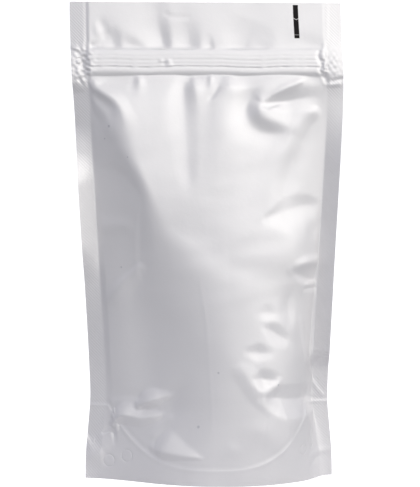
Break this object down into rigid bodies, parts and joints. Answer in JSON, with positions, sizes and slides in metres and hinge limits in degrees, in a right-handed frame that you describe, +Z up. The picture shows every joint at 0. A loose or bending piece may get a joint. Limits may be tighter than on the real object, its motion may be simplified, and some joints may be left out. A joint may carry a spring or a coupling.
{
  "type": "stand-up pouch",
  "caption": "Filled, shut stand-up pouch of white foil film with a press-to-close zip, welded sides and a folded base panel; a plain pack for dry food.",
  "frame": {"origin": "on the floor, under the middle of the pouch", "axes": "+Z up, the front film faces -Y, +X to the right as seen from the front"},
  "size_m": [0.1311, 0.0504, 0.23],
  "materials": {
    "film": "white foil laminate, satin, softly creased"
  },
  "bodies": {
    "root": {"pouch": "film"}
  },
  "joints": []
}
